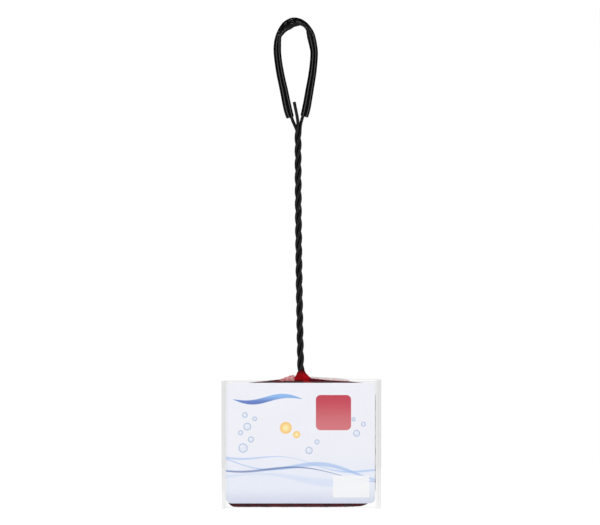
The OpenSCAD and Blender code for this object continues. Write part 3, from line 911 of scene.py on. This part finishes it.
# Stitches: one small thread loop, copied along the hem's seam on both its sides
def makeStitches(h):
    bpy.ops.mesh.primitive_uv_sphere_add(segments=6, ring_count=5, radius=h["stitchR"])
    first = bpy.context.object
    mode("EDIT")
    bpy.ops.transform.resize(value=(h["stitchLong"], 1, 1))
    mode("OBJECT")
    count = int(frameLength / h["stitchPitch"])
    copies = []
    for side, depth in h["stitchDepths"].items():
        for n in range(count):
            i = round((n + 0.5) / count * (len(frameSteps) - 1))
            at, out = frameSteps[i], frameOuts[i]
            stitch = first.copy()
            stitch.data = first.data.copy()
            bpy.context.collection.objects.link(stitch)
            seam = h["seamIn"] + h["stitchDrift"] * uneven(n, side, 0)
            stitch.location = at + out * seam + Vector((0, depth, 0))
            stitch.rotation_euler = (0, atan2(out.x, out.z) + radians(4 * side), radians(5) * side)
            copies.append(stitch)
    bpy.data.objects.remove(first)
    only(copies[0])
    for stitch in copies:
        stitch.select_set(True)
    bpy.ops.object.join()
    bpy.ops.object.shade_smooth()
    return bpy.context.object


hemStitches = makeStitches(hem)
dress(hemStitches, "hemStitches", "net", "seam_thread", sewingThread)
print("hem sewn")


# Net bag: one sheet sewn to the hem all round, folded down behind the frame in three layers

bag = {
    "inset": 3.5 * mm,  # from the wire's middle to the seam
    "columns": 190,
    "rows": 230,
    "back": 1.7 * mm,
    "depths": (1.2 * mm, 9.75 * mm),  # nearest the wire and farthest from it
    # down the middle of the sheet, back from the wire and height, in mm; its first and last rows are seams
    "fold": [(1.7, -294), (4.6, -297), (8.0, -304), (8.8, -320), (8.7, -345), (8.5, -368), (8.1, -380),
             (7.2, -384.2), (6.3, -380), (5.8, -368), (5.6, -356), (5.0, -350.5), (4.2, -355), (3.6, -366),
             (3.3, -377), (2.7, -384), (1.7, -387.9)],
    # across, rise of its top over its seam, in mm
    "lifts": [(-20, 0), (-14, 4.0), (-8, 5.0), (-3, 6.0), (3, 6.4), (13, 6.4), (20, 6.5), (28, 7.0),
              (36, 7.4), (42, 7.4), (47, 5.0), (52, 0)],
    "ripples": (0.45, 0.3),  # wide and narrow, in mm
    "puckers": (0.26, 0.16),  # wide and narrow, in mm
    "pleat": 0.5 * mm,
    "overlap": 4.3 * mm,  # how far its slack is drawn sideways into folds
    "standOff": 1.1 * mm,  # how far those folds stand off the sheet
    "crease": 1.1 * mm,
    "sag": 8.0 * mm,  # how unevenly its bends lie
    "flat": (0.22, 0.17),
    "cut": 0.025,  # square metres, as its sides taper towards the bag's end
}


def makeBag(b):
    fold = [Vector((y, z, 0)) * mm for y, z in b["fold"]]
    half = frameLine["halfWidth"] - b["inset"]
    arcX = frameLine["halfWidth"] - frameLine["corner"]
    arcR = frameLine["corner"] - b["inset"]
    low = frameLine["lowArc"] - arcR
    slope = sin(radians(stem["shoulderSlope"]))

    def where(u, v):
        # between the seam at the frame's sides and the fold in the middle
        across = 2 * u - 1
        out = max(0.0, abs(across) * half - stem["neckHalf"])
        top = frameLine["foot"] - b["inset"] - out * slope
        loose = 1 - eased(abs(across), 0.77, 1.0)
        spot = alongLine(fold, v)
        edge = Vector((b["back"], mixed(top, low, v), 0))
        share = (fold[0].y - spot.y) / (fold[0].y - fold[-1].y)
        spot = Vector((spot.x, mixed(top, low, share), 0))
        y, z = edge.lerp(spot, loose).xy
        # inside the frame's rounded corners
        past = max(0.0, z - frameLine["topArc"], frameLine["lowArc"] - z)
        reach = arcX + sqrt(max(0.0, arcR ** 2 - past ** 2)) if past > 0 else half
        x = frameLine["middle"] + across * reach
        # the top edge drawn up over the hem
        lift = fromTable(b["lifts"], x / mm) * mm
        z = mixed(z, max(z, top + lift), 1 - eased(v, 0.0, 0.07))
        # ripples and puckers, less towards the seams
        hang = eased(v, 0.0, 0.08) * eased(1 - v, 0.0, 0.06) * (0.25 + 0.75 * loose)
        wide, narrow = b["ripples"]
        ripple = wide * sin(x * 190 + 1.7 * sin(z * 45)) + narrow * sin(x * 83 + z * 60)
        wide, narrow = b["puckers"]
        fine = wide * uneven(x * 160, v * 22, 0) + narrow * uneven(x * 420, v * 55, 5)
        y += hang * (ripple * (0.35 + 0.4 * y / (9 * mm)) + fine) * mm
        # small pleats at the top seam, and slack drawn sideways into long folds below them
        pleat = sin(x * 1150 + 2.2 * sin(x * 260)) * eased(v, 0.01, 0.05) * (1 - eased(v, 0.08, 0.3))
        y += b["pleat"] * pleat * (0.6 + uneven(x * 60, 4, 1))
        slack = eased(v, 0.01, 0.05) * (1 - eased(v, 0.1, 0.45))
        slack = slack * max(0.0, uneven(x * 34, v * 1.5, 11) + 0.34) * loose
        turned = x * 680 + 3 * uneven(x * 14, v * 3, 6)
        x += b["overlap"] * slack * sin(turned)
        y -= b["standOff"] * slack * (1 + cos(turned))
        # sharp creases, and bends that lie unevenly
        ridge = max(0.0, 1 - abs(uneven(x * 31 + z * 17, z * 26 - x * 9, v * 2)) * 7)
        y += hang * b["crease"] * ridge * (0.5 if y < 7 * mm else -0.9)
        bends = eased(v, 0.3, 0.5) * (1 - eased(v, 0.85, 0.98))
        z += hang * (0.5 * mm * uneven(x * 90, v * 12, 9) + bends * b["sag"] * uneven(x * 28, 2, v))
        nearest, farthest = b["depths"]
        return Vector((x, min(max(y, nearest), farthest), z))

    return shapedSheet(b["columns"], b["rows"], b["flat"], where), where


netBag, bagPlace = makeBag(bag)
dress(netBag, "netBag", "net", "bag_mesh", netMesh, "net_bag")
print("bag folded, area", round(sum(face.area for face in netBag.data.polygons), 4))


# Side seams: rolled cloth and thread from each side bar into the fold

sideSeam = {
    "radius": 0.5 * mm,
    "behind": 0.25 * mm,
    "reach": (0.485, 0.25),  # from the side bar inwards, as shares of the bag's width
    "fuzz": 0.12,  # in mm
    "seed": 5,  # without one, noise_vector follows the clock
}


def addSideSeam(s, side, name):
    points = [bagPlace(0.5 + side * mixed(*s["reach"], i / 60), 0.5) + Vector((0, s["behind"], 0))
              for i in range(61)]
    seam = roundWire(points, s["radius"], 3)
    noise.seed_set(s["seed"])
    for vertex in seam.data.vertices:
        vertex.co += noise.noise_vector(vertex.co * 900) * s["fuzz"] * mm
    dress(seam, "sideSeam" + name, "net", "seam_thread", sewingThread, "side_seam_" + name.lower())


addSideSeam(sideSeam, -1, "Left")
addSideSeam(sideSeam, 1, "Right")


# Neck gather: the hem's two ends bunched round the foot of the stem

gather = {
    "columns": 96,
    "rows": 40,
    "flat": (0.05, 0.014),
    # height, middle, half width, half depth, in mm
    "sections": [(-293.6, 4.7, 9.9, 1.3), (-291.6, 4.8, 9.2, 1.5), (-289.9, 4.85, 8.3, 1.9),
                 (-288.0, 5.0, 7.0, 2.6), (-286.0, 5.1, 5.05, 3.15), (-284.6, 4.85, 3.95, 3.3),
                 (-283.2, 4.55, 3.2, 3.15), (-281.0, 4.2, 3.05, 3.05), (-279.3, 4.05, 3.02, 3.02)],
    "pleats": 13,
    "slant": 3.6,  # how much lower its top ends on the left, in mm
    "ragged": 0.5,
    "snug": (-283.6, -280.9),  # heights between which it closes on the three strands
    "thick": 0.16,
}


def makeGather(g):
    foot, crown = g["sections"][0][0], g["sections"][-1][0]

    def where(u, v):
        turn = 2 * pi * u
        lower = g["slant"] * (0.5 - 0.5 * cos(turn))
        top = crown - lower + g["ragged"] * uneven(cos(turn) * 2, sin(turn) * 2, 3)
        z = mixed(top, foot, v)
        middle, wide, deep = (fromTable(g["sections"], z, n) for n in (1, 2, 3))
        pleat = sin(g["pleats"] * turn + 1.4 * sin(turn * 2) + v * 1.5)
        pleat *= mixed(0.05, 0.09, eased(v, 0.0, 0.45))
        crumple = 0.11 * uneven(cos(turn) * 3, sin(turn) * 3, z * 0.9)
        out = 1 + pleat + crumple
        side, face = wide * out * cos(turn), deep * out * sin(turn)
        snug = eased(z, *g["snug"])
        if snug > 0:
            aim = Vector((cos(turn), -sin(turn), 0))
            wires = [strandAt(k, z * mm) / mm for k in range(3)]
            reach = max((Vector((w.x - middle, w.y, 0))).dot(aim) for w in wires)
            reach = (reach + stem["wireR"] / mm + g["thick"]) * (1 + 0.25 * pleat + 0.2 * crumple)
            side, face = mixed(side, reach * aim.x, snug), mixed(face, -reach * aim.y, snug)
        return Vector((middle + side, -face, z)) * mm

    return shapedSheet(g["columns"], g["rows"], g["flat"], where, closed=True)


neckGather = makeGather(gather)
dress(neckGather, "neckGather", "net", "hem_mesh", gatherMesh, "neck_gather")


# Loose tuck: a pinch of the bag's mesh pulled up over the hem on the neck's left

tuck = {
    "columns": 44,
    "rows": 26,
    "flat": (0.016, 0.011),
    # across, height of its ridge, depth in front of the wire, in mm
    "ridge": [(-14.2, -289.9, 1.75), (-11.5, -288.3, 2.0), (-8.0, -287.0, 2.25), (-4.5, -285.8, 2.4),
              (-2.0, -285.1, 2.2), (-0.2, -287.4, 1.2)],
    "frontFoot": -290.1,
    "backFoot": -292.6,
    "crumple": (0.42, 0.25),  # wide and narrow
}


def makeTuck(k):
    def where(u, v):
        x = mixed(k["ridge"][0][0], k["ridge"][-1][0], u)
        top, front = (fromTable(k["ridge"], x, n) for n in (1, 2))
        turn = pi * v
        y = -cos(turn) * front + 0.3 * (v > 0.5)
        z = mixed(mixed(k["frontFoot"], k["backFoot"], v), top, sin(turn) ** 0.8)
        wide, narrow = k["crumple"]
        crumple = wide * uneven(x * 0.9, v * 3.5, 2) + narrow * uneven(x * 2.3, v * 6, 7)
        return Vector((x + 0.3 * crumple, y + crumple, z + 0.7 * crumple * sin(turn))) * mm

    return shapedSheet(k["columns"], k["rows"], k["flat"], where)


neckTuck = makeTuck(tuck)
dress(neckTuck, "neckTuck", "net", "bag_mesh", backlitTuckMesh)

print("neck gathered")


# Clear sleeve: front and back film, two side welds and the bottom seal, open at the top

sleeve = {
    "left": -59.05 * mm,
    "right": 68.25 * mm,
    "weld": 1.8 * mm,
    "foot": -394.89 * mm,
    # across, height of the film's top edge, in mm
    "tops": {"front": [(-59, -290.3), (68, -290.3)],
             "back": [(-59, -290.2), (-28, -290.1), (-10, -289.2), (2, -288.2), (14, -287.3), (26, -287.5),
                      (37, -288.1), (48, -288.9), (68, -288.9)]},
    "depths": {"front": -4.62 * mm, "back": 10.17 * mm},
    "turns": {"front": 1.25 * mm, "back": 4.0 * mm},
    "cells": (220, 150),
    "flat": (0.127, 0.104),
    "wave": 0.35 * mm,
    "weldCell": 0.45 * mm,
    "weldRipple": 0.09 * mm,
    "edge": 0.2 * mm,  # width that shows as its cut top edge
    # how strongly edges show against that one
    "haze": 0.3,  # beside the welds
    "sealEdge": 0.3,
    "clearFoot": 0.9,  # how much clearer the welds are at their lower ends
}


def topOf(face, x):
    return fromTable(sleeve["tops"][face], x / mm) * mm


def makeFilmSheet(s, face):
    depth, turn = s["depths"][face], s["turns"][face]
    sign = -1 if depth < 0 else 1
    first, last = (s["left"], s["right"]) if face == "front" else (s["right"], s["left"])

    def where(u, v):
        x = mixed(first, last, u)
        z = mixed(s["foot"], topOf(face, x), v)
        near = min(x - s["left"], s["right"] - x, z - s["foot"])
        share = min(1.0, max(0.0, near / turn))
        wave = 0.5 + 0.5 * uneven(x * 24, sign * 3, z * 17) + 0.25 * uneven(x * 60, sign, z * 50)
        y = depth * sqrt(max(0.0, 1 - (1 - share) ** 3))
        y += sign * s["wave"] * max(0.0, wave) * eased(near, 0.0, 12 * mm)
        return Vector((x, y, z))

    return shapedSheet(*s["cells"], s["flat"], where)


def markEdge(sheet, edgeAt):
    marks = sheet.data.attributes.new("filmEdge", "FLOAT", "POINT")
    for i, vertex in enumerate(sheet.data.vertices):
        marks.data[i].value = edgeAt(vertex.co)


def besideWeld(x):
    near = min(x - sleeve["left"], sleeve["right"] - x)
    return sleeve["haze"] * (1 - eased(near, 1 * mm, 5 * mm))


for face in ("front", "back"):
    film = makeFilmSheet(sleeve, face)
    markEdge(film, lambda co: max(float(co.z > topOf(face, co.x) - sleeve["edge"]), besideWeld(co.x)))
    dress(film, "sleeve" + face.capitalize(), "sleeve", "clear_film", clearFilm, "sleeve_" + face)


def makeWeld(s, x0, x1, z0, z1):
    columns, rows = (max(2, int(length / s["weldCell"])) for length in (x1 - x0, z1 - z0))

    def where(u, v):
        x, z = mixed(x0, x1, u), mixed(z0, z1, v)
        return Vector((x, s["weldRipple"] * uneven(x * 90, 0, z * 90), z))

    return shapedSheet(columns, rows, (x1 - x0, z1 - z0), where)


weldFoot = sleeve["foot"] - sleeve["weld"]
leftEdge, rightEdge = sleeve["left"] - sleeve["weld"], sleeve["right"] + sleeve["weld"]


def weldMark(co):
    cut = co.x < leftEdge + 0.1 * mm or co.x > rightEdge - 0.1 * mm
    return cut - sleeve["clearFoot"] * (1 - eased(co.z, weldFoot, sleeve["foot"] + 1 * mm))


def sealMark(co):
    return sleeve["sealEdge"] * (co.z < weldFoot + 0.1 * mm)


for name, x0, x1 in (("Left", leftEdge, sleeve["left"]), ("Right", sleeve["right"], rightEdge)):
    strip = makeWeld(sleeve, x0, x1, weldFoot, topOf("back", sleeve[name.lower()]))
    markEdge(strip, weldMark)
    dress(strip, "weld" + name, "sleeve", "welded_film", weldedFilm, "sleeve_weld_" + name.lower())
sealBottom = makeWeld(sleeve, sleeve["left"], sleeve["right"], weldFoot, sleeve["foot"])
markEdge(sealBottom, sealMark)
dress(sealBottom, "sealBottom", "sleeve", "welded_film", sealedFilm, "sleeve_seal_bottom")
print("sleeve closed round it")


# CAD nodes that stay: the card and the steel at the cut end

for node, finish in {"insert_card": cardPrint, "wire_core": cutSteel}.items():
    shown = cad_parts[node]
    shown.data.materials.clear()
    shown.data.materials.append(finish)


# Studio: world white to the eye and dim to the surfaces, two tall softboxes at the sides, soft fills

studio = {
    "aim": (4.0 * mm, 0, -200 * mm),
    # azimuth, elevation, distance, width, height, radiance, whether gloss mirrors it
    "boxes": {
        "leftBox": (-34, 8, 1.6, 0.42, 1.7, 3.6, True),
        "rightBox": (52, 8, 1.6, 0.42, 1.7, 3.6, True),
        "frontFill": (-8, 24, 2.2, 1.6, 1.2, 2.15, False),
        "backFill": (165, 35, 2.2, 1.6, 1.2, 3.2, False),
    },
    "fill": (0.8, 0.8, 0.8),  # the world on the surfaces
    "mirrored": (0.02, 0.02, 0.02),  # the world in gloss, but for what lies straight behind
    "floor": -530 * mm,  # clear of the sleeve drawn right off
    "floorSize": 5,
    "floorGlow": 0.66,
    "floorGloss": 0.15,
}


def makeSoftbox(name, aim, azimuth, elevation, distance, width, height, radiance, glossy):
    turn, rise = radians(azimuth), radians(elevation)
    away = Vector((sin(turn) * cos(rise), -cos(turn) * cos(rise), sin(rise)))
    bpy.ops.object.light_add(type="AREA", location=Vector(aim) + away * distance)
    lamp = bpy.context.object
    lamp.name = name
    lamp.rotation_euler = away.to_track_quat("Z", "Y").to_euler()
    lamp.data.shape = "RECTANGLE"
    lamp.data.size, lamp.data.size_y = width, height
    lamp.data.energy = radiance * pi * width * height
    lamp.visible_glossy = glossy
    lamp.visible_camera = False


# How much of its plain white a surface shows to each kind of ray
def plainShare(path, inGloss):
    seen = calc("MAXIMUM", path.outputs["Is Camera Ray"], path.outputs["Is Transmission Ray"])
    return calc("MAXIMUM", seen, calc("MULTIPLY", path.outputs["Is Glossy Ray"], inGloss))


def makeWorld(s):
    world = bpy.data.worlds.new("studio")
    bpy.context.scene.world = world
    world.use_nodes = True
    background = world.node_tree.nodes["Background"]
    path = newNode(background, "LightPath")
    behind = remap(axes(place(background, "Generated"))[1], 0.9, 1.0)
    grey = mixColour(path.outputs["Is Glossy Ray"], s["fill"], s["mirrored"])
    plug(background.inputs["Color"], mixColour(plainShare(path, behind), grey, (1, 1, 1)))


def makeFloor(s):
    bpy.ops.mesh.primitive_plane_add(size=s["floorSize"], location=(0, 0, s["floor"]))
    floor = bpy.context.object
    settle()
    floor.name = floor.data.name = "studioFloor"
    made, shader = newMaterial("paleFloor", (0.4, 0.4, 0.4), 0.9, 0.1)
    seen = plainShare(newNode(shader, "LightPath"), s["floorGloss"])
    fill(shader, {"Emission Color": (1, 1, 1), "Emission Strength": calc("MULTIPLY", seen, s["floorGlow"])})
    floor.data.materials.append(made)


for name, box in studio["boxes"].items():
    makeSoftbox(name, studio["aim"], *box)
makeWorld(studio)
makeFloor(studio)
bpy.context.scene.view_settings.view_transform = "Standard"

print("studio lit")
